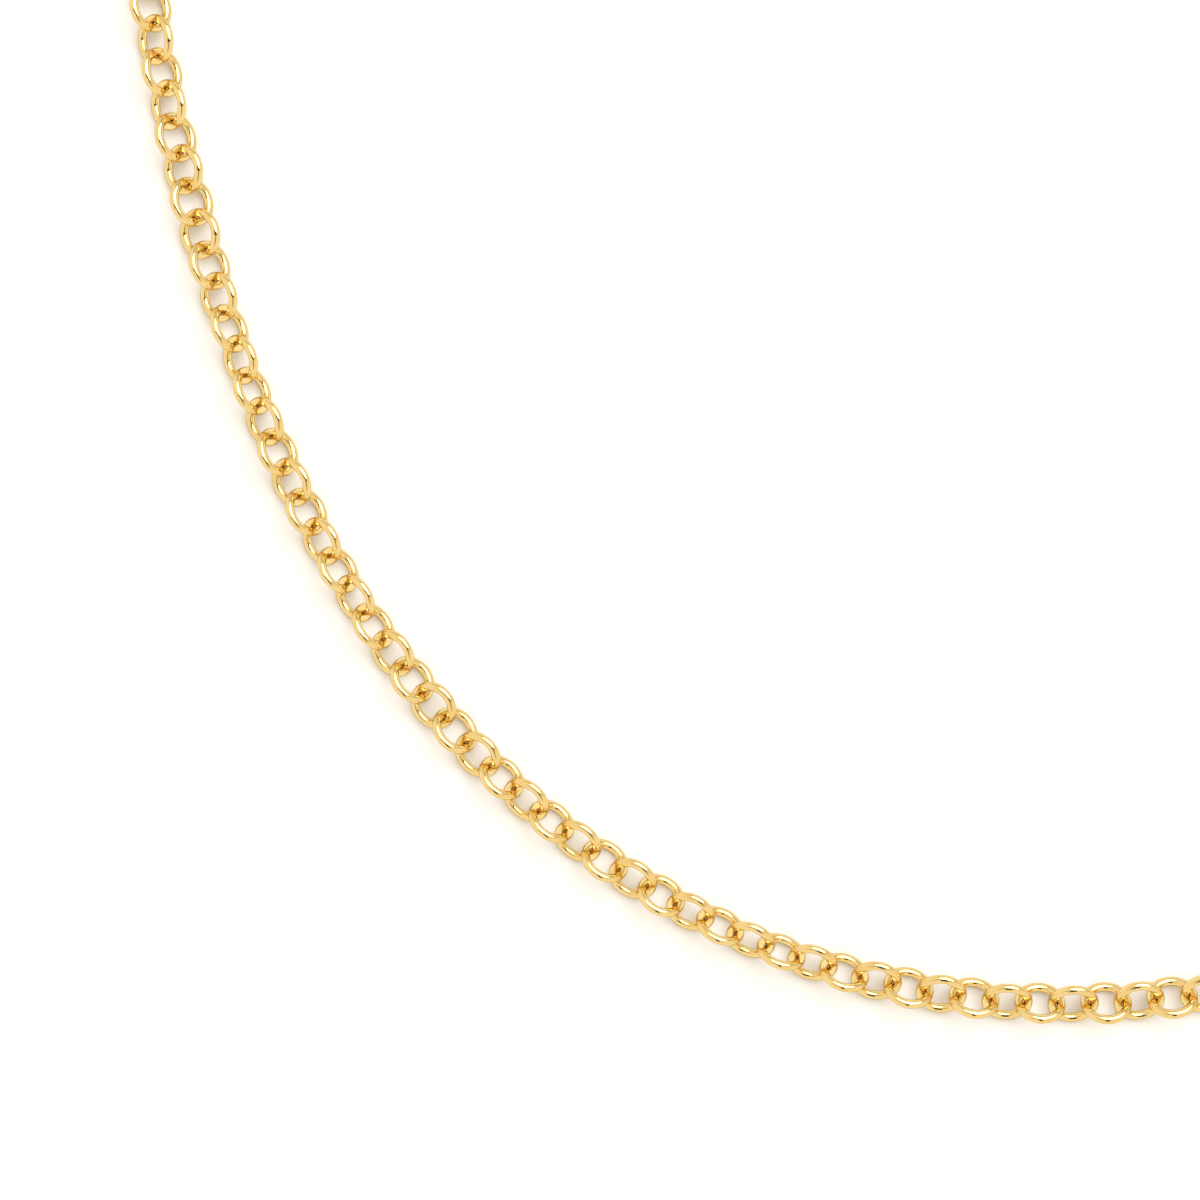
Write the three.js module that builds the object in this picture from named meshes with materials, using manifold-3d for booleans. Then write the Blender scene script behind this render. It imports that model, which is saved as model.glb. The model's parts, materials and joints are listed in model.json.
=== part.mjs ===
// A rolo chain necklace, unfastened and laid in a U on a table: round-wire links, a lobster clasp on
// one end and the ring that it hooks on the other.
// Millimetres, +Z up, +Y from the front of the U to its two ends. The origin is on the table, under
// the middle of the necklace.
import * as THREE from "three";
import { mergeVertices } from "three/addons/utils/BufferGeometryUtils.js";
import Module from "manifold-3d";

const wasm = await Module();
wasm.setup();

// ---- Driving dimensions ----
const WIRE = 0.62; // diameter of the link wire
const LINK_LENGTH = 3.58; // over the wire, along the chain
const LINK_WIDTH = 3.44; // over the wire, across the chain
const PLAY = 0.02; // slack where two pieces hook each other
const LINKS = 164; // in the whole chain, counted from the clasp
const FIRST_LOOSE = 80; // the loose links are separate pieces, the rest are joined into runs
const LOOSE_LINKS = 46;
const CLASP_SIDE_RUNS = 5;
const RING_SIDE_RUNS = 3;

const PITCH = LINK_LENGTH - 2 * WIRE - PLAY;
const HALF_WIDTH = (LINK_WIDTH - WIRE) / 2; // from a link's middle to the middle of its side wire

// ---- How the chain lies: the arc length u is 0 at the front and positive on the ring's side ----
const FRONT_RADIUS = 58.1; // the curve at the front of the U
const ARM_RADIUS = 149; // the gentler curve of its two arms
const FRONT_END = 38; // u where the front curve starts to open
const ARM_START = 97; // u where it has opened to the arm's radius
const FRONT_SHIFT = -1.31; // u of the contact in the middle of the chain
const LAY_ANGLE = 44.5; // degrees that a link's plane leans from the table, one way and then the other
const YAW_SPREAD = 1.6; // degrees of play in a link's direction
const ROLL_SPREAD = 2.5; // degrees of play in a link's lean
const HINGE_GROUP = 4; // two contacts that bend sideways, then two that lift

// ---- Rings and clasp ----
const JUMP_WIRE = 0.6;
const JUMP_OUTER = 4;
const JUMP_LEAN = 40; // degrees from the table
const JUMP_PLAY = 0.1; // slack between the jump ring and the first link
const END_WIRE = 0.8;
const END_OUTER = 5;
const END_LEAN = 28; // degrees from the table
const CLASP_THICKNESS = 2.6;
const CLASP_REACH = 8.6; // from the eye's middle to the middle of the hook's round opening
const EYE_INNER = 1.6; // radius
const EYE_OUTER = 2.15;
const EYE_THICKNESS = 0.6;
const EYE_GAP = 0.35; // between the eye's wall and the leaning jump ring
const NECK = { x: 0.6, halfWidth: 1.3 }; // where the housing starts, over the eye
const WAIST = { x: 3.4, halfWidth: 1.7 }; // steers the curve of the housing's sides
const HOUSING_SPREAD = 44; // degrees round the opening, each way, that the housing takes up
const HOOK_INNER = 1.9; // radius of the opening
const HOOK_OUTER = 3.2;
const HOOK_ROOT = -160; // degrees round the opening where the hook starts, inside the housing
const HOOK_TIP = { outer: 77, inner: 62 }; // degrees where the hook's two edges end
const GATE_TIP = { outer: 79.5, inner: 71 }; // and the gate's, so that it swings clear of the hook
const GATE_ROOT = 145; // degrees where the gate's bar starts
const GATE_THICKNESS = 1.2;
const GATE_BAR = 0.9; // the gate bar's width in the plane of the clasp
const GATE_HUB = 0.85; // radius round the pin
const PIVOT = { x: CLASP_REACH - 3.1, y: 1.75 };
const TAB_TIP = { x: -0.5, y: 1.6, width: 0.7, rise: 0.4 }; // the thumb tab's top, from the pivot
const TAB_HEEL = { x: 1.2, y: 0.8 };
const PIN_RADIUS = 0.38;
const PIN_GAP = 0.04;
const SLOT_THICKNESS = 1.4;
const SLOT_BACK = PIVOT.x - 2.1;
const SLOT_FLOOR = -0.4;
const SLOT_TOP = 4; // well above the housing
const SPRING_LEAF = 0.14; // thickness
const SPRING_WIDTH = 0.9;
const SPRING_LENGTH = 1.7;
const SPRING_RISE = 0.95;
const SPRING_GAP = 0.05; // over the slot's floor
const SPRING_BACK = PIVOT.x - 1;
const CUT = 1; // how far a cut runs past the piece

const gold = { color: 0xf2c14e, roughness: 0.12, metalness: 1 };
const springSteel = { color: 0xb9b5ad, roughness: 0.3, metalness: 1 };

// ---- Helpers ----
function finish(geometry, name, look) {
  const mesh = new THREE.Mesh(geometry, new THREE.MeshStandardMaterial(look));
  mesh.name = name;
  return mesh;
}

function toSolid(geometry) {
  const bare = geometry.clone();
  bare.deleteAttribute("normal");
  bare.deleteAttribute("uv");
  const merged = mergeVertices(bare, 1e-4);
  const shell = new wasm.Mesh({
    numProp: 3,
    vertProperties: new Float32Array(merged.attributes.position.array),
    triVerts: new Uint32Array(merged.index.array),
  });
  return new wasm.Manifold(shell);
}

function toGeometry(solid) {
  const shell = solid.getMesh();
  const geometry = new THREE.BufferGeometry();
  geometry.setAttribute("position", new THREE.BufferAttribute(shell.vertProperties, 3));
  geometry.setIndex(new THREE.BufferAttribute(shell.triVerts, 1));
  geometry.computeVertexNormals();
  return geometry;
}

// An upright slab of the outline, its middle at height 0.
function slab(outline, thickness, curveSegments = 6) {
  const geometry = new THREE.ExtrudeGeometry(outline, {
    depth: thickness,
    bevelEnabled: false,
    curveSegments,
  });
  return geometry.translate(0, 0, -thickness / 2);
}

// An upright disc about the point (x, y).
function disc(x, y, radius, thickness, sides = 20) {
  const geometry = new THREE.CylinderGeometry(radius, radius, thickness, sides);
  return geometry.rotateX(Math.PI / 2).translate(x, y, 0);
}

// A wire ring in the XY plane; its rear inside face is at x = 0.
function ringGeometry(outer, across, wire, segments, sides) {
  const ring = new THREE.TorusGeometry((outer - wire) / 2, wire / 2, sides, segments);
  ring.scale(1, across / outer, 1);
  return ring.translate(outer / 2 - wire, 0, 0);
}

// ---- The walk along the chain ----
// The chain's turn from the front's direction at arc length u, up to a quarter turn.
function turnAt(u) {
  const along = Math.abs(u);
  const opening = ARM_START - FRONT_END;
  const part = THREE.MathUtils.clamp((along - FRONT_END) / opening, 0, 1);
  const opened = opening * (part ** 3 - part ** 4 / 2) + Math.max(along - ARM_START, 0);
  const turned = along / FRONT_RADIUS + opened * (1 / ARM_RADIUS - 1 / FRONT_RADIUS);
  return Math.sign(u) * Math.min(turned, Math.PI / 2);
}

// A quiet, even scatter between -1 and 1 for link number k.
const scatter = (k) => Math.sin(2.4 * k);
const wave = (u, crest, length) => Math.cos((2 * Math.PI * (u - crest)) / length);

const leanAt = (u) => LAY_ANGLE + 3 * wave(u, 24, 19) + 4 * wave(u, 24, 48);
const twistAt = (u) => 3 + 1.5 * wave(u, 18, 32);

// Height of the chain's middle line, so that its lowest wires rest on the table.
function heightAt(u) {
  const steepest = THREE.MathUtils.degToRad(leanAt(u) + Math.abs(twistAt(u)));
  return HALF_WIDTH * Math.sin(steepest) + WIRE / 2;
}

const arcOfContact = (k) => (k - LINKS / 2) * PITCH + FRONT_SHIFT;
const arcOfLink = (k) => arcOfContact(k + 0.5);

// One link's level direction, from the clasp towards the ring.
function directionOf(k) {
  const turn = turnAt(arcOfLink(k)) + THREE.MathUtils.degToRad(YAW_SPREAD) * scatter(k);
  return new THREE.Vector3(-Math.cos(turn), Math.sin(turn), 0);
}

// Contact k is where link k hooks the piece before it; the last one is the ring's.
function walkContacts() {
  const contacts = [];
  const front = LINKS / 2;
  contacts[front] = new THREE.Vector3(0, 0, heightAt(0));
  for (let k = front; k < LINKS; k += 1) {
    const next = contacts[k].clone().addScaledVector(directionOf(k), PITCH);
    contacts[k + 1] = next.setZ(heightAt(arcOfContact(k + 1)));
  }
  for (let k = front - 1; k >= 0; k -= 1) {
    const before = contacts[k + 1].clone().addScaledVector(directionOf(k), -PITCH);
    contacts[k] = before.setZ(heightAt(arcOfContact(k)));
  }
  return contacts;
}

// Turns an object so that its X runs along the direction and its plane leans by the roll.
function aim(object, direction, rollDegrees) {
  const along = direction.clone().normalize();
  const side = new THREE.Vector3(0, 0, 1).cross(along).normalize();
  const up = along.clone().cross(side);
  object.quaternion.setFromRotationMatrix(new THREE.Matrix4().makeBasis(along, side, up));
  object.rotateX(THREE.MathUtils.degToRad(rollDegrees));
}

function rollOf(k) {
  const u = arcOfLink(k);
  const way = k % 2 === 0 ? -1 : 1;
  return way * leanAt(u) + twistAt(u) + ROLL_SPREAD * scatter(k + 1);
}

// Every contact is a hinge: a pair turns about the upright, the next pair about the level line
// across the chain. The signs alternate by pairs, so that the chain can fold into a meander.
function hingeAxis(k) {
  const group = Math.floor(k / HINGE_GROUP);
  const place = k % HINGE_GROUP;
  const bendsSideways = place < HINGE_GROUP / 2;
  const groupSign = Math.floor((group + 1) / 2) % 2 === 0 ? 1 : -1;
  if (bendsSideways) return new THREE.Vector3(0, 0, groupSign);
  const liftSign = (group + place) % 2 === 0 ? 1 : -1;
  return new THREE.Vector3(0, 0, liftSign).cross(directionOf(k));
}

// ---- Links ----
// One link, turned and rolled as link k lies, with its rear contact at the local origin.
function placeLink(object, contacts, k) {
  const along = contacts[k + 1].clone().sub(contacts[k]);
  aim(object, along, rollOf(k));
  object.position.copy(contacts[k]);
  object.translateX(-PLAY / 2);
}

function looseLink(contacts, k) {
  const geometry = ringGeometry(LINK_LENGTH, LINK_WIDTH, WIRE, 10, 6);
  const link = finish(geometry, `link_${String(k + 1).padStart(3, "0")}`, gold);
  placeLink(link, contacts, k);
  link.userData.hinge = { at: contacts[k], axis: hingeAxis(k) };
  return link;
}

// Neighbouring links joined into one piece, in square wire. Within the run the wire has the round
// wire's section area, so it is a little deeper and each link bites into the next. The two end
// links keep the plain depth, and hook their neighbours freely.
function chainRun(contacts, first, last, name) {
  const deepWire = WIRE * Math.sqrt(Math.PI / 2);
  const pad = deepWire - WIRE;
  const inside = ringGeometry(LINK_LENGTH + pad, LINK_WIDTH + pad, deepWire, 6, 4);
  inside.translate(pad / 2, 0, 0);
  const atEnd = ringGeometry(LINK_LENGTH, LINK_WIDTH, WIRE, 6, 4);
  const placer = new THREE.Object3D();
  let joined = null;
  for (let k = first; k <= last; k += 1) {
    placeLink(placer, contacts, k);
    placer.position.sub(contacts[first]);
    placer.updateMatrix();
    const shape = k === first || k === last ? atEnd : inside;
    const link = toSolid(shape.clone().applyMatrix4(placer.matrix));
    joined = joined ? joined.add(link) : link;
  }
  const run = finish(toGeometry(joined), name, gold);
  run.position.copy(contacts[first]);
  run.userData.hinge = { at: contacts[first], axis: hingeAxis(first) };
  return run;
}

// The runs on one side: the links from first to last in a number of nearly equal shares.
function chainRuns(contacts, first, last, count, side) {
  const runs = [];
  const links = last - first + 1;
  for (let n = 0; n < count; n += 1) {
    const from = first + Math.round((n * links) / count);
    const to = first + Math.round(((n + 1) * links) / count) - 1;
    runs.push(chainRun(contacts, from, to, `${side}_chain_run_${n + 1}`));
  }
  return runs;
}

// ---- Rings ----
// Height of the middle of a leaning ring that rests on the table.
function restHeight(outer, wire, lean) {
  return ((outer - wire) / 2) * Math.sin(THREE.MathUtils.degToRad(lean)) + wire / 2;
}

function jumpRing(contacts) {
  const inner = JUMP_OUTER - 2 * JUMP_WIRE;
  const direction = directionOf(0);
  const ring = finish(ringGeometry(JUMP_OUTER, JUMP_OUTER, JUMP_WIRE, 14, 6), "clasp_jump_ring", gold);
  aim(ring, direction, JUMP_LEAN);
  ring.position.copy(contacts[0]).addScaledVector(direction, JUMP_PLAY - PLAY / 2 - inner);
  ring.position.z = restHeight(JUMP_OUTER, JUMP_WIRE, JUMP_LEAN);
  ring.userData.hinge = { at: ring.position.clone(), axis: new THREE.Vector3(0, 0, -1).cross(direction) };
  return ring;
}

function endRing(contacts) {
  const direction = directionOf(LINKS - 1);
  const start = contacts[LINKS];
  const tilt = direction.clone().multiplyScalar(END_OUTER / 2 - END_WIRE);
  tilt.z = restHeight(END_OUTER, END_WIRE, END_LEAN) - start.z;
  const ring = finish(ringGeometry(END_OUTER, END_OUTER, END_WIRE, 16, 6), "end_ring", gold);
  aim(ring, tilt, -END_LEAN);
  ring.position.copy(start);
  ring.translateX(-PLAY / 2);
  ring.userData.hinge = { at: start, axis: new THREE.Vector3(0, 0, -1).cross(direction) };
  return ring;
}

// ---- The clasp, in its own frame: the eye's middle at the origin, the hook towards +X ----
const onHook = (radius, degrees) => {
  const angle = THREE.MathUtils.degToRad(degrees);
  return { x: CLASP_REACH + radius * Math.cos(angle), y: radius * Math.sin(angle) };
};

// A curved bar round the opening, from one angle to the other; its two edges can end apart.
function barOutline(inner, outer, from, tip) {
  const [start, outerEnd, innerEnd] = [from, tip.outer, tip.inner].map(THREE.MathUtils.degToRad);
  const clockwise = outerEnd < start;
  const outline = new THREE.Shape();
  outline.absarc(CLASP_REACH, 0, outer, start, outerEnd, clockwise);
  outline.absarc(CLASP_REACH, 0, inner, innerEnd, start, !clockwise);
  outline.closePath();
  return outline;
}

// The housing tapers from the eye to the full width of the hook.
function housingOutline() {
  const top = onHook(HOOK_OUTER, 180 - HOUSING_SPREAD);
  const outline = new THREE.Shape();
  outline.moveTo(NECK.x, NECK.halfWidth);
  outline.quadraticCurveTo(WAIST.x, WAIST.halfWidth, top.x, top.y);
  outline.lineTo(CLASP_REACH, 0);
  outline.lineTo(top.x, -top.y);
  outline.quadraticCurveTo(WAIST.x, -WAIST.halfWidth, NECK.x, -NECK.halfWidth);
  outline.closePath();
  return outline;
}

// The slot holds the gate's root and its spring, and is open to the top edge and to the opening.
function slotOutline() {
  const outline = new THREE.Shape();
  outline.moveTo(SLOT_BACK, SLOT_TOP);
  outline.lineTo(SLOT_BACK, SLOT_FLOOR);
  outline.lineTo(CLASP_REACH, SLOT_FLOOR);
  outline.lineTo(CLASP_REACH, SLOT_TOP);
  outline.closePath();
  return outline;
}

function claspBody() {
  const through = CLASP_THICKNESS + CUT;
  const hook = slab(barOutline(HOOK_INNER, HOOK_OUTER, HOOK_ROOT, HOOK_TIP), CLASP_THICKNESS, 20);
  const solid = toSolid(slab(housingOutline(), CLASP_THICKNESS))
    .add(toSolid(hook))
    .add(toSolid(disc(0, 0, EYE_OUTER, EYE_THICKNESS, 24)))
    .subtract(toSolid(disc(CLASP_REACH, 0, HOOK_INNER, through, 28)))
    .subtract(toSolid(disc(0, 0, EYE_INNER, through, 20)))
    .subtract(toSolid(slab(slotOutline(), SLOT_THICKNESS)))
    .subtract(toSolid(disc(PIVOT.x, PIVOT.y, PIN_RADIUS + PIN_GAP, through, 12)));
  return finish(toGeometry(solid), "clasp_body", gold);
}

// The thumb tab stands out of the gate's hub; both are drawn from the pivot.
function tabOutline() {
  const outline = new THREE.Shape();
  outline.moveTo(0, 0);
  outline.lineTo(TAB_TIP.x, TAB_TIP.y);
  outline.lineTo(TAB_TIP.x + TAB_TIP.width, TAB_TIP.y + TAB_TIP.rise);
  outline.lineTo(TAB_HEEL.x, TAB_HEEL.y);
  outline.closePath();
  return outline;
}

// The gate bar curves from the pivot to just under the hook's tip.
function claspGate() {
  const middle = (HOOK_INNER + HOOK_OUTER) / 2;
  const bar = barOutline(middle - GATE_BAR / 2, middle + GATE_BAR / 2, GATE_ROOT, GATE_TIP);
  const solid = toSolid(slab(bar, GATE_THICKNESS, 10).translate(-PIVOT.x, -PIVOT.y, 0))
    .add(toSolid(disc(0, 0, GATE_HUB, GATE_THICKNESS, 16)))
    .add(toSolid(slab(tabOutline(), GATE_THICKNESS)))
    .subtract(toSolid(disc(0, 0, PIN_RADIUS + PIN_GAP, GATE_THICKNESS + CUT, 12)));
  const gate = finish(toGeometry(solid), "clasp_gate", gold);
  gate.position.set(PIVOT.x, PIVOT.y, 0);
  gate.userData.hinge = { at: gate.position.clone(), axis: new THREE.Vector3(0, 0, -1) };
  return gate;
}

function claspPin() {
  const pin = finish(disc(0, 0, PIN_RADIUS, CLASP_THICKNESS, 12), "clasp_pivot_pin", gold);
  pin.position.set(PIVOT.x, PIVOT.y, 0);
  return pin;
}

// A bent leaf between the slot's floor and the underside of the gate.
function claspSpring() {
  const leaf = new THREE.Shape();
  leaf.moveTo(0, 0);
  leaf.lineTo(SPRING_LENGTH, 0);
  leaf.lineTo(SPRING_LENGTH, SPRING_LEAF);
  leaf.lineTo(2 * SPRING_LEAF, SPRING_LEAF);
  leaf.lineTo(SPRING_LENGTH, SPRING_RISE - SPRING_LEAF);
  leaf.lineTo(SPRING_LENGTH, SPRING_RISE);
  leaf.closePath();
  const spring = finish(slab(leaf, SPRING_WIDTH), "clasp_gate_spring", springSteel);
  spring.position.set(SPRING_BACK, SLOT_FLOOR + SPRING_GAP, 0);
  return spring;
}

// The clasp lies flat and points away from the chain, its eye round the jump ring.
function clasp(ring) {
  const group = new THREE.Group();
  group.add(claspBody(), claspGate(), claspPin(), claspSpring());
  const away = directionOf(0).negate();
  aim(group, away, 0);
  group.position.copy(ring.position).addScaledVector(away, EYE_INNER - EYE_GAP);
  group.position.z = CLASP_THICKNESS / 2;
  return group;
}

// ---- The necklace ----
const contacts = walkContacts();
const lastLoose = FIRST_LOOSE + LOOSE_LINKS - 1;
const claspRing = jumpRing(contacts);
const necklace = new THREE.Group();
necklace.add(clasp(claspRing), claspRing);
necklace.add(...chainRuns(contacts, 0, FIRST_LOOSE - 1, CLASP_SIDE_RUNS, "clasp_side"));
for (let k = FIRST_LOOSE; k <= lastLoose; k += 1) {
  necklace.add(looseLink(contacts, k));
}
necklace.add(...chainRuns(contacts, lastLoose + 1, LINKS - 1, RING_SIDE_RUNS, "ring_side"));
necklace.add(endRing(contacts));

const box = new THREE.Box3().setFromObject(necklace, true);
const middle = box.getCenter(new THREE.Vector3());
necklace.position.set(-middle.x, -middle.y, -box.min.z);

export default necklace;
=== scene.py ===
"""A gold rolo chain necklace, close up on a white table.

The walk along the chain repeats the one that the CAD parts were laid out with, so that every round
wire link lies exactly where its CAD solid lies. Lengths of the walk are in millimetres, and
everything else is in metres.
"""

import json
import math

import bpy
from mathutils import Matrix, Vector


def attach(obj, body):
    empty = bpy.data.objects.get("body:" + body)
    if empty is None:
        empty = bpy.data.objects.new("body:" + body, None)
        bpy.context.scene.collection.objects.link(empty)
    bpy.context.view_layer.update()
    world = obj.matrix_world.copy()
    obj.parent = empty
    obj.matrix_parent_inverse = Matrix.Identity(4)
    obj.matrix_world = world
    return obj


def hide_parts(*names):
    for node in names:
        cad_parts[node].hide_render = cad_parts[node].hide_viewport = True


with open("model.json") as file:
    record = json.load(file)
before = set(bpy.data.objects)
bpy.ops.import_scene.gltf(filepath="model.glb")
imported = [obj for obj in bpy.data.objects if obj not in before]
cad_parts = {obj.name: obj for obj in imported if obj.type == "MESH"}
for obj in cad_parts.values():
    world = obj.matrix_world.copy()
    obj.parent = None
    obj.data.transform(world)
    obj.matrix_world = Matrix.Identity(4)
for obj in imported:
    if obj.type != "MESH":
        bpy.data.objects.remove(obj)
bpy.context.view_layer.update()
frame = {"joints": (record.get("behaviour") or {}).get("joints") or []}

MM = 0.001

# ---- Sizes of the chain, in millimetres, degrees and numbers of links ----
WIRE = 0.62
LINK_LENGTH = 3.58
LINK_WIDTH = 3.44
PLAY = 0.02
LINKS = 164
PITCH = LINK_LENGTH - 2 * WIRE - PLAY
HALF_WIDTH = (LINK_WIDTH - WIRE) / 2
JUMP_WIRE = 0.6
JUMP_OUTER = 4
JUMP_LEAN = 40
JUMP_PLAY = 0.1
JUMP_GROOVE = 0.1  # share of the wire's radius
END_WIRE = 0.8
END_OUTER = 5
END_LEAN = 28
END_GROOVE = 0.05
FIRST_LOOSE = 80  # counted from 0
LOOSE_LINKS = 46
CLASP_SIDE_RUNS = 5
RING_SIDE_RUNS = 3
SEAM_ANGLE = 90  # degrees round a ring from its front, where its ends are soldered
SEAM_SWELL = 0.03  # share of the wire's radius
SEAM_WIDTH = 7
GROOVE_WIDTH = 2.2
LINK_STEPS = 64
RING_STEPS = 96
WIRE_STEPS = 20
RING_WIRE_STEPS = 24

# ---- How the chain lies, in millimetres along it and degrees ----
FRONT_RADIUS = 58.1
ARM_RADIUS = 149
FRONT_END = 38
ARM_START = 97
FRONT_SHIFT = -1.31
LAY_ANGLE = 44.5
YAW_SPREAD = 1.6
ROLL_SPREAD = 2.5

# ---- The clasp, in millimetres and degrees, with the eye's middle as its origin ----
CLASP_THICKNESS = 2.6
CLASP_REACH = 8.6
EYE_INNER = 1.6
EYE_OUTER = 2.15
EYE_GAP = 0.35
BODY_ROUNDING = 0.55
SLOT_ROUNDING = 0.05
CUT_MARGIN = 1
NECK = (0.6, 1.3)
WAIST = (3.4, 1.7)
HOUSING_SPREAD = 44
HOOK_INNER = 1.9
HOOK_OUTER = 3.2
HOOK_TIP = (77, 62)
GATE_TIP = (79.5, 71)
GATE_ROOT = 145
GATE_THICKNESS = 1.2
GATE_BAR = 0.9
GATE_HUB = 0.85
GATE_ROUNDING = 0.12
PIVOT = (CLASP_REACH - 3.1, 1.75)
TAB_TIP = (-0.5, 1.6)
TAB_WIDTH = 0.7
TAB_RISE = 0.4
TAB_HEEL = (1.2, 0.8)
PIN_RADIUS = 0.38
PIN_GAP = 0.04
PIN_ROUNDING = 0.1
SLOT_THICKNESS = 1.4
SLOT_BACK = PIVOT[0] - 2.1
SLOT_FLOOR = -0.4
SLOT_TOP = 4
SPRING_LEAF = 0.14
SPRING_WIDTH = 0.9
SPRING_LENGTH = 1.7
SPRING_RISE = 0.95
SPRING_BEND = 0.22
SPRING_GAP = 0.05
SPRING_BACK = PIVOT[0] - 1

# ---- Looks ----
TABLE_HALF_SIZE = 1.5
TABLE_GAP = 0.06  # mm, so that the lowest of the round wires only touch the table
TABLE_WHITE = (0.93, 0.925, 0.91, 1)
GOLD_YELLOW = (0.84, 0.62, 0.25, 1)
GOLD_PALE = (0.87, 0.67, 0.31, 1)
GOLD_RIM = (0.50, 0.42, 0.27, 1)  # at a glancing angle
STEEL_DARK = (0.52, 0.50, 0.47, 1)
STEEL_PALE = (0.66, 0.65, 0.62, 1)
PLAIN_ROUGHNESS = 0.05
WORN_ROUGHNESS = 0.12
WAVE_DEPTH = 0.6  # micrometres
SCRATCH_DEPTH = 0.12
TENT_WARM = (1.08, 1.00, 0.88, 1)
TENT_DIM = (0.74, 0.67, 0.57, 1)  # low down on the far right, behind the key light
TENT_DARK = (0.05, 0.035, 0.02, 1)
DIM_TOWARDS = (0.5, 0.85, -0.1)
DIM_START = 0.35
DIM_FULL = 0.75
CROSS_GAP = (-0.14, 0.10, 0.1, 0.7)  # middle and half width, then centre and half length, as slopes
FRONT_GAP = (0.06, 0.17, -0.55, 0.50)
GAP_SIDE_SOFTNESS = 0.03
GAP_END_SOFTNESS = 0.4
KEY_COLOR = (0.92, 0.97, 1.05)
KEY_PLACE = (0.20, 0.26, 0.50)  # metres from the middle of the view
KEY_SIZE = 0.62
KEY_POWER = 2.6

# ---- The view ----
FIELD = 84  # mm across the picture, at the height of the chain
VIEW_FROM_FRONT = (-34.27, 28.28)  # mm from the joint at the front of the U to the picture's middle
CAMERA_LENS = 100
SENSOR = 36


# ---- The walk along the chain ----
def turn_at(u):
    """The chain's turn from the front's direction at arc length u, in radians."""
    along = abs(u)
    opening = ARM_START - FRONT_END
    part = min(max((along - FRONT_END) / opening, 0), 1)
    opened = opening * (part**3 - part**4 / 2) + max(along - ARM_START, 0)
    turned = along / FRONT_RADIUS + opened * (1 / ARM_RADIUS - 1 / FRONT_RADIUS)
    return math.copysign(min(turned, math.pi / 2), u)


def wave(u, crest, length):
    return math.cos(2 * math.pi * (u - crest) / length)


def scatter(k):
    return math.sin(2.4 * k)


def lean_at(u):
    return LAY_ANGLE + 3 * wave(u, 24, 19) + 4 * wave(u, 24, 48)


def twist_at(u):
    return 3 + 1.5 * wave(u, 18, 32)


def height_at(u):
    steepest = math.radians(lean_at(u) + abs(twist_at(u)))
    return HALF_WIDTH * math.sin(steepest) + WIRE / 2


def arc_of_contact(k):
    return (k - LINKS / 2) * PITCH + FRONT_SHIFT


def direction_of(k):
    turn = turn_at(arc_of_contact(k + 0.5)) + math.radians(YAW_SPREAD) * scatter(k)
    return Vector((-math.cos(turn), math.sin(turn), 0))


def roll_of(k):
    u = arc_of_contact(k + 0.5)
    way = -1 if k % 2 == 0 else 1
    return math.radians(way * lean_at(u) + twist_at(u) + ROLL_SPREAD * scatter(k + 1))


def walk_contacts():
    """Where link k hooks the piece before it, in millimetres from the joint at the front."""
    front = LINKS // 2
    contacts = {front: Vector((0, 0, height_at(0)))}
    for k in range(front, LINKS):
        contacts[k + 1] = contacts[k] + direction_of(k) * PITCH
        contacts[k + 1].z = height_at(arc_of_contact(k + 1))
    for k in range(front - 1, -1, -1):
        contacts[k] = contacts[k + 1] - direction_of(k) * PITCH
        contacts[k].z = height_at(arc_of_contact(k))
    return contacts


def aimed(direction, roll):
    """A turn whose X runs along the direction, with its plane leant by the roll."""
    along = direction.normalized()
    side = Vector((0, 0, 1)).cross(along).normalized()
    up = along.cross(side)
    basis = Matrix((along, side, up)).transposed()
    return basis.to_4x4() @ Matrix.Rotation(roll, 4, "X")


def link_matrix(contacts, k, origin):
    """Where link k lies, in metres in the frame of the CAD model."""
    turn = aimed(contacts[k + 1] - contacts[k], roll_of(k))
    start = (contacts[k] - contacts[LINKS // 2]) * MM + origin
    return Matrix.Translation(start) @ turn @ Matrix.Translation((-PLAY / 2 * MM, 0, 0))


# ---- Mesh helpers ----
def object_from(name, points, faces, material):
    """A smooth-shaded object from lists of points and faces, in metres."""
    mesh = bpy.data.meshes.new(name)
    mesh.from_pydata(points, [], faces)
    mesh.materials.append(material)
    mesh.shade_smooth()
    made = bpy.data.objects.new(name, mesh)
    bpy.context.scene.collection.objects.link(made)
    return made


def ring_mesh(outer, across, wire, segments, sides, matrix=None):
    """Points and faces of a round-wire ring in the XY plane; its rear inside face is at x = 0.

    The wire swells a little at its soldered joint, in the middle of one side.
    """
    half_long = (outer - wire) / 2
    half_across = (across - wire) / 2
    points = []
    for i in range(segments):
        angle = 2 * math.pi * i / segments
        centre = Vector((outer / 2 - wire + half_long * math.cos(angle), half_across * math.sin(angle), 0))
        outward = Vector((half_across * math.cos(angle), half_long * math.sin(angle), 0)).normalized()
        from_seam = math.degrees(angle) - SEAM_ANGLE
        radius = wire / 2 * (1 + SEAM_SWELL * math.exp(-((from_seam / SEAM_WIDTH) ** 2)))
        for j in range(sides):
            around = 2 * math.pi * j / sides
            offset = outward * math.cos(around) + Vector((0, 0, math.sin(around)))
            point = (centre + offset * radius) * MM
            points.append(matrix @ point if matrix else point)
    faces = []
    for i in range(segments):
        ahead = (i + 1) % segments * sides
        for j in range(sides):
            beside = (j + 1) % sides
            faces.append((i * sides + j, ahead + j, ahead + beside, i * sides + beside))
    return points, faces


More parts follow.
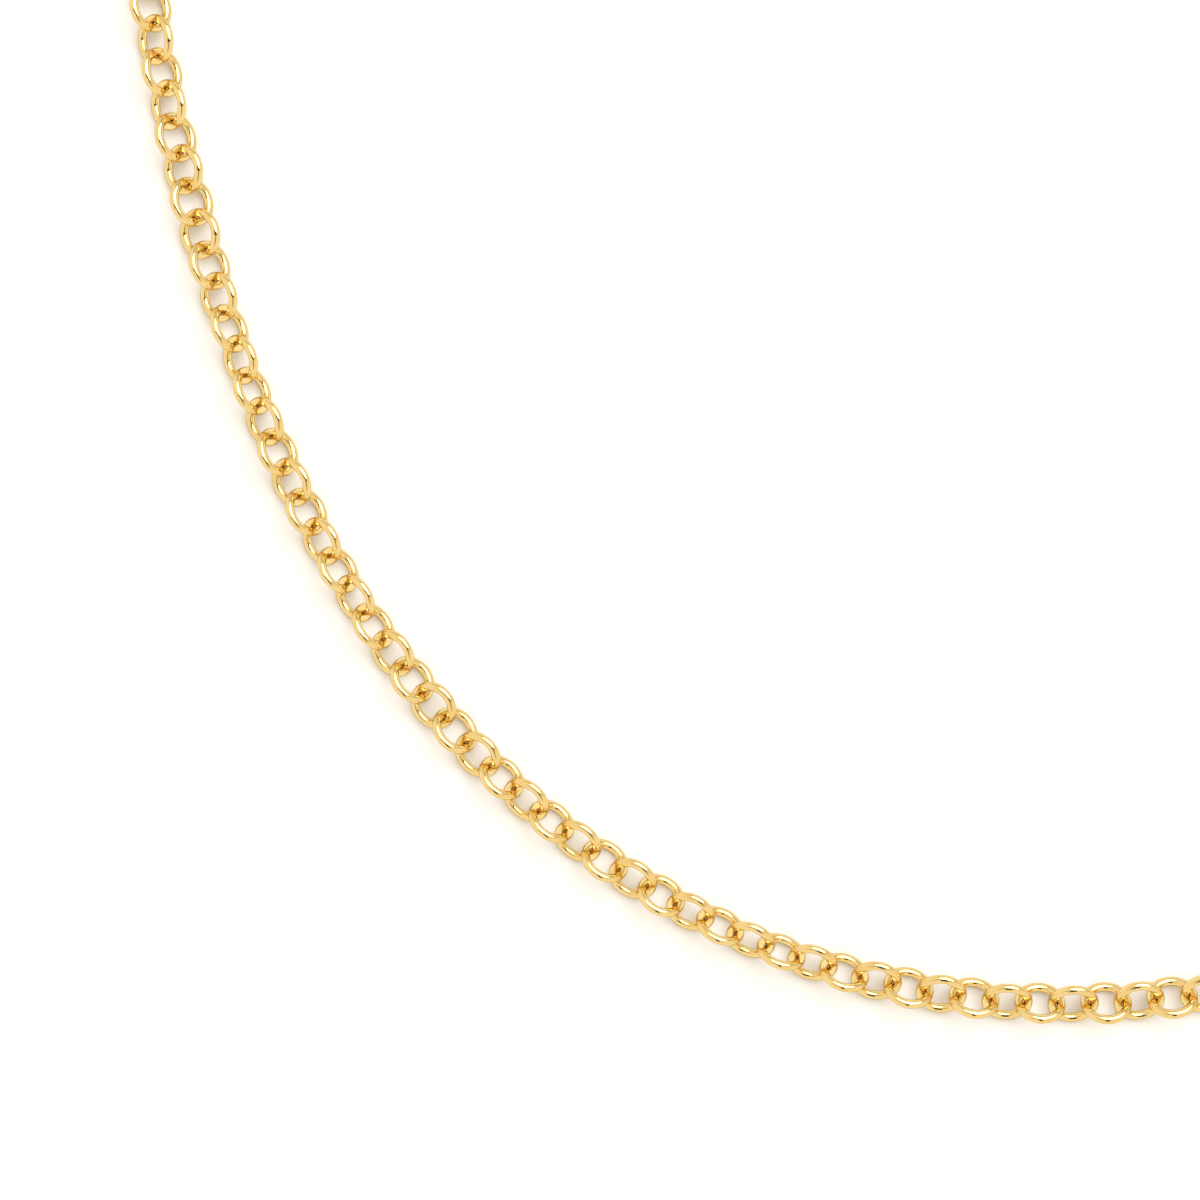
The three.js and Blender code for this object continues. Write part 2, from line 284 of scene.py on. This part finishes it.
def prism(name, outline, thickness, material):
    """An upright slab of a closed anticlockwise outline in millimetres, its middle at height 0."""
    low = [(x * MM, y * MM, -thickness / 2 * MM) for x, y in outline]
    high = [(x, y, -z) for x, y, z in low]
    count = len(outline)
    faces = [tuple(range(count - 1, -1, -1)), tuple(range(count, 2 * count))]
    for i in range(count):
        ahead = (i + 1) % count
        faces.append((i, ahead, count + ahead, count + i))
    return object_from(name, low + high, faces, material)


def arc(x, y, radius, start, end, steps):
    """Points along an arc about (x, y), from one angle to the other in degrees, both ends included."""
    turns = [math.radians(start + (end - start) * i / steps) for i in range(steps + 1)]
    return [(x + radius * math.cos(turn), y + radius * math.sin(turn)) for turn in turns]


def disc(name, x, y, radius, thickness, material, steps=48):
    return prism(name, arc(x, y, radius, 0, 360, steps)[:-1], thickness, material)


def bow(start, steer, end, steps):
    """Points along a quadratic curve, both ends included."""
    points = []
    for i in range(steps + 1):
        t = i / steps
        weights = ((1 - t) ** 2, 2 * t * (1 - t), t * t)
        corners = list(zip(weights, (start, steer, end)))
        points.append(tuple(sum(w * corner[axis] for w, corner in corners) for axis in (0, 1)))
    return points


def with_modifier(obj, kind, **settings):
    """Adds a modifier and applies it."""
    modifier = obj.modifiers.new(kind.lower(), kind)
    for key, value in settings.items():
        setattr(modifier, key, value)
    bpy.context.view_layer.update()
    solved = obj.evaluated_get(bpy.context.evaluated_depsgraph_get())
    mesh = bpy.data.meshes.new_from_object(solved)
    obj.modifiers.clear()
    obj.data = mesh


def combine(obj, other, operation):
    """Joins the other object to this one or cuts it away, and deletes the other."""
    with_modifier(obj, "BOOLEAN", object=other, operation=operation, solver="EXACT")
    bpy.data.objects.remove(other)


def round_edges(obj, width, segments, angle=30):
    with_modifier(
        obj,
        "BEVEL",
        width=width * MM,
        segments=segments,
        limit_method="ANGLE",
        angle_limit=math.radians(angle),
    )


def smooth_up_to(obj, angle):
    """Smooth shading, but for edges that turn by more than the angle."""
    obj.data.shade_smooth()
    obj.data.set_sharp_from_angle(angle=math.radians(angle))


# ---- Materials ----
def shader_nodes(name):
    """A new material's node tree and its shader."""
    material = bpy.data.materials.new(name)
    material.use_nodes = True
    tree = material.node_tree
    return material, tree, tree.nodes["Principled BSDF"]


def add_node(tree, kind, inputs=None, **settings):
    """A node of that kind, its input sockets set to numbers or linked to other nodes' sockets."""
    node = tree.nodes.new(kind)
    for key, value in settings.items():
        setattr(node, key, value)
    for key, value in (inputs or {}).items():
        if isinstance(value, bpy.types.NodeSocket):
            tree.links.new(value, node.inputs[key])
        else:
            node.inputs[key].default_value = value
    return node


def own_coordinates(tree):
    """The piece's own coordinates, moved by a random step, so that no two links are marked alike."""
    place = add_node(tree, "ShaderNodeTexCoord")
    piece = add_node(tree, "ShaderNodeObjectInfo")
    return add_node(
        tree,
        "ShaderNodeVectorMath",
        {0: place.outputs["Object"], 1: piece.outputs["Random"]},
        operation="ADD",
    ).outputs["Vector"]


def noise(tree, coordinates, size, detail=2.0, stretch=None):
    """A noise whose features are about that many millimetres across."""
    if stretch:
        mapping = add_node(tree, "ShaderNodeMapping", {"Vector": coordinates, "Scale": stretch})
        coordinates = mapping.outputs["Vector"]
    settings = {"Vector": coordinates, "Scale": 1 / (size * MM), "Detail": detail}
    return add_node(tree, "ShaderNodeTexNoise", settings).outputs["Fac"]


def spread(tree, value, low, high, start=0.35, end=0.65):
    """The value's middle stretch spread between two numbers."""
    settings = {"Value": value, "From Min": start, "From Max": end, "To Min": low, "To Max": high}
    return add_node(tree, "ShaderNodeMapRange", settings).outputs["Result"]


def blended(tree, fade, first, second):
    """Two colours, or sockets, mixed by the fade."""
    node = add_node(tree, "ShaderNodeMix", {0: fade}, data_type="RGBA")
    for socket, value in ((node.inputs[6], first), (node.inputs[7], second)):
        if isinstance(value, bpy.types.NodeSocket):
            tree.links.new(value, socket)
        else:
            socket.default_value = value
    return node.outputs[2]


def bump(tree, height, depth, normal=None):
    """A bump whose height is that many micrometres."""
    settings = {"Height": height, "Distance": depth * MM * MM, "Strength": 1.0}
    if normal:
        settings["Normal"] = normal
    return add_node(tree, "ShaderNodeBump", settings).outputs["Normal"]


def polished_gold():
    """Polished yellow gold: soft waves from tumbling, fine scratches from wear and a faint haze."""
    material, tree, shader = shader_nodes("polished_gold")
    place = own_coordinates(tree)
    haze = noise(tree, place, 1.4, 3)
    tint = blended(tree, spread(tree, haze, 0, 1), GOLD_YELLOW, GOLD_PALE)
    tree.links.new(tint, shader.inputs["Base Color"])
    shader.inputs["Specular Tint"].default_value = GOLD_RIM
    scratch = noise(tree, place, 0.05, 2, (1, 14, 5))
    rub = noise(tree, place, 0.5, 4)
    rough = spread(tree, rub, PLAIN_ROUGHNESS, WORN_ROUGHNESS, 0.4, 0.75)
    tree.links.new(rough, shader.inputs["Roughness"])
    waves = bump(tree, noise(tree, place, 0.3, 1), WAVE_DEPTH)
    marks = bump(tree, scratch, SCRATCH_DEPTH, waves)
    tree.links.new(marks, shader.inputs["Normal"])
    shader.inputs["Metallic"].default_value = 1
    return material


def spring_steel():
    """Satin spring steel, brushed along the leaf."""
    material, tree, shader = shader_nodes("spring_steel")
    place = own_coordinates(tree)
    brushed = noise(tree, place, 0.04, 3, (0.12, 1, 1))
    tint = blended(tree, spread(tree, brushed, 0, 1), STEEL_DARK, STEEL_PALE)
    tree.links.new(tint, shader.inputs["Base Color"])
    tree.links.new(spread(tree, brushed, 0.24, 0.38), shader.inputs["Roughness"])
    tree.links.new(bump(tree, brushed, 0.8), shader.inputs["Normal"])
    shader.inputs["Metallic"].default_value = 1
    return material


# ---- Pieces ----
def hand_in(piece, body, node):
    """The piece stands for a CAD node and rides on its body."""
    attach(piece, body)
    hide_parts(node)


def loose_links(contacts, origin, material):
    """The links at the front of the U, which all share one mesh."""
    points, faces = ring_mesh(LINK_LENGTH, LINK_WIDTH, WIRE, LINK_STEPS, WIRE_STEPS)
    pattern = object_from("link_pattern", points, faces, material)
    for k in range(FIRST_LOOSE, FIRST_LOOSE + LOOSE_LINKS):
        node = f"link_{k + 1:03d}"
        link = bpy.data.objects.new(f"{node}_polished", pattern.data)
        bpy.context.scene.collection.objects.link(link)
        link.matrix_world = link_matrix(contacts, k, origin)
        hand_in(link, node, node)
    bpy.data.objects.remove(pattern)


def chain_run(contacts, origin, first, last, node, material):
    """Neighbouring links that ride on one body."""
    start = Matrix.Translation(link_matrix(contacts, first, origin).translation)
    points = []
    faces = []
    for k in range(first, last + 1):
        place = start.inverted() @ link_matrix(contacts, k, origin)
        ring = ring_mesh(LINK_LENGTH, LINK_WIDTH, WIRE, LINK_STEPS, WIRE_STEPS, place)
        faces += [tuple(len(points) + corner for corner in face) for face in ring[1]]
        points += ring[0]
    run = object_from(f"{node}_polished", points, faces, material)
    run.matrix_world = start
    hand_in(run, node, node)


def chain_runs(contacts, origin, first, last, count, side, material):
    links = last - first + 1
    for n in range(count):
        start = first + math.floor(n * links / count + 0.5)
        end = first + math.floor((n + 1) * links / count + 0.5) - 1
        chain_run(contacts, origin, start, end, f"{side}_chain_run_{n + 1}", material)


def split_ring(name, outer, wire, groove, matrix, material):
    """A ring of round wire; a fine groove shows where its two ends meet."""
    points, faces = ring_mesh(outer, outer, wire, RING_STEPS, RING_WIRE_STEPS)
    ring = object_from(name, points, faces, material)
    centre = Vector((outer / 2 - wire, 0, 0)) * MM
    groove_at = math.radians(SEAM_ANGLE)
    for vertex in ring.data.vertices:
        arm = vertex.co - centre
        away = abs(math.remainder(math.atan2(arm.y, arm.x) - groove_at, 2 * math.pi))
        pinch = groove * math.exp(-((math.degrees(away) / GROOVE_WIDTH) ** 2))
        middle = centre + Vector((arm.x, arm.y, 0)).normalized() * (outer - wire) / 2 * MM
        vertex.co = middle + (vertex.co - middle) * (1 - pinch)
    ring.matrix_world = matrix
    return ring


def rest_height(outer, wire, lean):
    """Height of the middle of a leaning ring that rests on the table."""
    return (outer - wire) / 2 * math.sin(math.radians(lean)) + wire / 2


def jump_ring_start(contacts):
    """The rear inside face of the jump ring, where the clasp's eye hangs, in millimetres."""
    inner = JUMP_OUTER - 2 * JUMP_WIRE
    start = contacts[0] + direction_of(0) * (JUMP_PLAY - PLAY / 2 - inner)
    start.z = rest_height(JUMP_OUTER, JUMP_WIRE, JUMP_LEAN)
    return start


def jump_ring(contacts, shift, material):
    place = Matrix.Translation(jump_ring_start(contacts) * MM + shift)
    place = place @ aimed(direction_of(0), math.radians(JUMP_LEAN))
    ring = split_ring("clasp_jump_ring_polished", JUMP_OUTER, JUMP_WIRE, JUMP_GROOVE, place, material)
    hand_in(ring, "clasp_jump_ring", "clasp_jump_ring")


def end_ring(contacts, shift, material):
    start = contacts[LINKS]
    tilt = direction_of(LINKS - 1) * (END_OUTER / 2 - END_WIRE)
    tilt.z = rest_height(END_OUTER, END_WIRE, END_LEAN) - start.z
    place = Matrix.Translation(start * MM + shift) @ aimed(tilt, math.radians(-END_LEAN))
    place = place @ Matrix.Translation((-PLAY / 2 * MM, 0, 0))
    ring = split_ring("end_ring_polished", END_OUTER, END_WIRE, END_GROOVE, place, material)
    hand_in(ring, "end_ring", "end_ring")


# ---- The clasp, in its own frame: the eye's middle at the origin, the hook towards +X ----
def opening_arc(radius, start, end, steps):
    return arc(CLASP_REACH, 0, radius, start, end, steps)


def body_outline():
    """Round the outside from the hook's tip to the eye and back, then round the opening."""
    shoulder = 180 - HOUSING_SPREAD
    top = opening_arc(HOOK_OUTER, shoulder, shoulder, 1)[0]
    low_side = bow((top[0], -top[1]), (WAIST[0], -WAIST[1]), (NECK[0], -NECK[1]), 16)
    high_side = bow(NECK, WAIST, top, 16)
    outside = opening_arc(HOOK_OUTER, HOOK_TIP[0], -shoulder, 72)
    inside = opening_arc(HOOK_INNER, shoulder - 360, HOOK_TIP[1], 72)
    return (outside[:-1] + low_side + high_side + inside)[::-1]


def clasp_body(material):
    body = prism("clasp_body_polished", body_outline(), CLASP_THICKNESS, material)
    round_edges(body, BODY_ROUNDING, 6)
    through = CLASP_THICKNESS + CUT_MARGIN
    eye_wire = EYE_OUTER - EYE_INNER
    points, faces = ring_mesh(2 * EYE_OUTER, 2 * EYE_OUTER, eye_wire, RING_STEPS, WIRE_STEPS)
    eye = object_from("eye", points, faces, material)
    eye.data.transform(Matrix.Translation((-EYE_INNER * MM, 0, 0)))
    combine(body, disc("eye_hole", 0, 0, EYE_INNER, through, material, RING_STEPS), "DIFFERENCE")
    combine(body, eye, "UNION")
    slot = [(SLOT_BACK, SLOT_FLOOR), (CLASP_REACH, SLOT_FLOOR)]
    slot += [(CLASP_REACH, SLOT_TOP), (SLOT_BACK, SLOT_TOP)]
    combine(body, prism("slot", slot, SLOT_THICKNESS, material), "DIFFERENCE")
    bore = disc("pin_bore", *PIVOT, PIN_RADIUS + PIN_GAP, through, material)
    combine(body, bore, "DIFFERENCE")
    round_edges(body, SLOT_ROUNDING, 2, 50)
    smooth_up_to(body, 50)
    return body


def clasp_gate(material):
    middle = (HOOK_INNER + HOOK_OUTER) / 2
    outer = opening_arc(middle + GATE_BAR / 2, GATE_TIP[0], GATE_ROOT, 40)
    inner = opening_arc(middle - GATE_BAR / 2, GATE_ROOT, GATE_TIP[1], 40)
    gate = prism("clasp_gate_polished", outer + inner, GATE_THICKNESS, material)
    combine(gate, disc("hub", *PIVOT, GATE_HUB, GATE_THICKNESS, material), "UNION")
    tab = [(0, 0), TAB_HEEL, (TAB_TIP[0] + TAB_WIDTH, TAB_TIP[1] + TAB_RISE), TAB_TIP]
    tab = [(PIVOT[0] + x, PIVOT[1] + y) for x, y in tab]
    combine(gate, prism("tab", tab, GATE_THICKNESS, material), "UNION")
    bore = disc("gate_bore", *PIVOT, PIN_RADIUS + PIN_GAP, GATE_THICKNESS + CUT_MARGIN, material)
    combine(gate, bore, "DIFFERENCE")
    round_edges(gate, GATE_ROUNDING, 4, 25)
    smooth_up_to(gate, 45)
    return gate


def clasp_pin(material):
    """A pin whose two ends are flush with the body, their rims rounded by the riveting."""
    pin = disc("clasp_pivot_pin_riveted", *PIVOT, PIN_RADIUS, CLASP_THICKNESS, material, 40)
    round_edges(pin, PIN_ROUNDING, 4, 60)
    smooth_up_to(pin, 50)
    return pin


def clasp_spring(material):
    """A leaf of steel bent round on itself, as wide as the slot lets it be."""
    half = SPRING_LEAF / 2
    low = SLOT_FLOOR + SPRING_GAP + half
    high = low + SPRING_RISE - SPRING_LEAF
    back = SPRING_BACK + half
    path = [(SPRING_BACK + SPRING_LENGTH, low), (back + SPRING_BEND, low)]
    path += arc(back + SPRING_BEND, low + SPRING_BEND, SPRING_BEND, 270, 120, 12)
    path += [(SPRING_BACK + SPRING_LENGTH, high)]
    sides = ([], [])
    for i, (x, y) in enumerate(path):
        before = Vector(path[max(i - 1, 0)])
        after = Vector(path[min(i + 1, len(path) - 1)])
        along = (after - before).normalized()
        sides[0].append((x - along.y * half, y + along.x * half))
        sides[1].append((x + along.y * half, y - along.x * half))
    spring = prism("clasp_gate_spring_bent", sides[0][::-1] + sides[1], SPRING_WIDTH, material)
    smooth_up_to(spring, 40)
    return spring


def clasp(contacts, shift, gold, steel):
    away = -direction_of(0)
    start = jump_ring_start(contacts) + away * (EYE_INNER - EYE_GAP)
    start.z = CLASP_THICKNESS / 2
    place = Matrix.Translation(start * MM + shift) @ aimed(away, 0)
    made = (
        (clasp_body(gold), "clasp", "clasp_body", "gold"),
        (clasp_gate(gold), "clasp_gate", "clasp_gate", "gold"),
        (clasp_pin(gold), "clasp", "clasp_pivot_pin", "gold"),
        (clasp_spring(steel), "clasp", "clasp_gate_spring", "spring_steel"),
    )
    for piece, body, node, slot in made:
        piece.matrix_world = place
        hand_in(piece, body, node)


# ---- Table, lights and camera ----
def table_top():
    sides = ((-1, -1), (1, -1), (1, 1), (-1, 1))
    corners = [(x * TABLE_HALF_SIZE, y * TABLE_HALF_SIZE, -TABLE_GAP * MM) for x, y in sides]
    material, tree, shader = shader_nodes("white_table")
    place = add_node(tree, "ShaderNodeTexCoord").outputs["Object"]
    grain = noise(tree, place, 3, 4)
    tree.links.new(bump(tree, grain, 4), shader.inputs["Normal"])
    shader.inputs["Base Color"].default_value = TABLE_WHITE
    shader.inputs["Roughness"].default_value = 0.75
    shader.inputs["Specular IOR Level"].default_value = 0.2
    object_from("table_top", corners, [(0, 1, 2, 3)], material)


def soft_box(name, place, target, size, power, color):
    data = bpy.data.lights.new(name, "AREA")
    data.shape = "DISK"
    data.size = size
    data.energy = power
    data.color = color
    lamp = bpy.data.objects.new(name, data)
    bpy.context.scene.collection.objects.link(lamp)
    lamp.location = place
    lamp.rotation_euler = (target - place).to_track_quat("-Z", "Y").to_euler()


def near_line(tree, value, middle, half_width, softness):
    """1 where the value is within half a width of the middle, fading softly to 0 further out."""
    offset = add_node(tree, "ShaderNodeMath", {0: value, 1: middle}, operation="SUBTRACT").outputs[0]
    away = add_node(tree, "ShaderNodeMath", {0: offset}, operation="ABSOLUTE").outputs[0]
    settings = {
        "Value": away,
        "From Min": half_width + softness,
        "From Max": half_width - softness,
    }
    return add_node(tree, "ShaderNodeMapRange", settings, interpolation_type="SMOOTHSTEP").outputs["Result"]


def strip(tree, across, along, middle, half_width, centre, half_length):
    """A strip overhead: 1 inside it and 0 outside."""
    side = near_line(tree, across, middle, half_width, GAP_SIDE_SOFTNESS)
    ends = near_line(tree, along, centre, half_length, GAP_END_SOFTNESS)
    return add_node(tree, "ShaderNodeMath", {0: side, 1: ends}, operation="MULTIPLY").outputs[0]


def tent():
    """A white light tent with two dark gaps overhead, crossing like a T, and one dimmer side."""
    world = bpy.data.worlds.new("light_tent")
    bpy.context.scene.world = world
    world.use_nodes = True
    tree = world.node_tree
    sky = add_node(tree, "ShaderNodeTexCoord").outputs["Generated"]
    axes = add_node(tree, "ShaderNodeSeparateXYZ", {0: sky})
    height = add_node(tree, "ShaderNodeMath", {0: axes.outputs[2], 1: 0.02}, operation="MAXIMUM").outputs[0]
    u = add_node(tree, "ShaderNodeMath", {0: axes.outputs[0], 1: height}, operation="DIVIDE").outputs[0]
    v = add_node(tree, "ShaderNodeMath", {0: axes.outputs[1], 1: height}, operation="DIVIDE").outputs[0]
    cross_gap = strip(tree, v, u, *CROSS_GAP)
    front_gap = strip(tree, u, v, *FRONT_GAP)
    gaps = add_node(tree, "ShaderNodeMath", {0: cross_gap, 1: front_gap}, operation="MAXIMUM").outputs[0]
    dim_way = Vector(DIM_TOWARDS).normalized()
    facing = add_node(tree, "ShaderNodeVectorMath", {0: sky, 1: dim_way}, operation="DOT_PRODUCT")
    dim = add_node(
        tree,
        "ShaderNodeMapRange",
        {"Value": facing.outputs["Value"], "From Min": DIM_START, "From Max": DIM_FULL},
        interpolation_type="SMOOTHSTEP",
    ).outputs["Result"]
    white = blended(tree, dim, TENT_WARM, TENT_DIM)
    tree.links.new(blended(tree, gaps, white, TENT_DARK), tree.nodes["Background"].inputs["Color"])


def camera(target):
    data = bpy.data.cameras.new("camera")
    data.lens = CAMERA_LENS
    data.sensor_width = SENSOR
    data.clip_start = 0.01
    made = bpy.data.objects.new("camera", data)
    bpy.context.scene.collection.objects.link(made)
    made.location = target + Vector((0, 0, FIELD * CAMERA_LENS / SENSOR * MM))
    bpy.context.scene.camera = made


# ---- The necklace ----
bpy.context.scene.view_settings.view_transform = "Standard"
contacts = walk_contacts()
front_joint = next(joint for joint in frame["joints"] if joint["child"] == f"link_{LINKS // 2 + 1:03d}")
origin = Vector(front_joint["pos_m"])
shift = origin - contacts[LINKS // 2] * MM
view_middle = origin + Vector((*VIEW_FROM_FRONT, 0)) * MM
camera(view_middle)

gold = polished_gold()
steel = spring_steel()
loose_links(contacts, origin, gold)
chain_runs(contacts, origin, 0, FIRST_LOOSE - 1, CLASP_SIDE_RUNS, "clasp_side", gold)
chain_runs(contacts, origin, FIRST_LOOSE + LOOSE_LINKS, LINKS - 1, RING_SIDE_RUNS, "ring_side", gold)
jump_ring(contacts, shift, gold)
end_ring(contacts, shift, gold)
clasp(contacts, shift, gold, steel)

table_top()
tent()
soft_box("key_light", view_middle + Vector(KEY_PLACE), view_middle, KEY_SIZE, KEY_POWER, KEY_COLOR)
